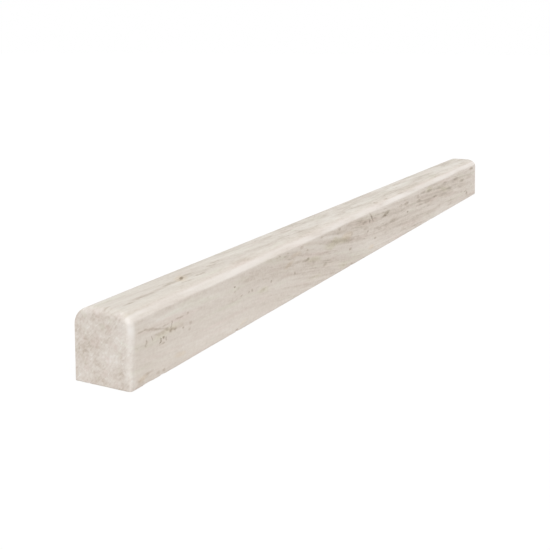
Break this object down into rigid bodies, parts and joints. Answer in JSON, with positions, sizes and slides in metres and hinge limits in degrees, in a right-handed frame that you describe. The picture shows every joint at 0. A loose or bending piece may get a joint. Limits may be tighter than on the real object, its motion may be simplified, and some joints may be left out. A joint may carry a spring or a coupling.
{
  "type": "pencil liner tile",
  "caption": "Slim straight bar of honed veined stone with a flat back and a face whose long edges are rounded over, set as trim between tile fields.",
  "frame": {"origin": "middle of the flat bonding back, which is the bottom of the bar as it lies", "axes": "+X along the bar, -Y out of the front side, +Z out of the rounded face"},
  "size_m": [0.305, 0.016, 0.0185],
  "materials": {
    "honed_stone": "honed"
  },
  "bodies": {
    "root": {"liner_bar": "honed_stone"}
  },
  "joints": []
}
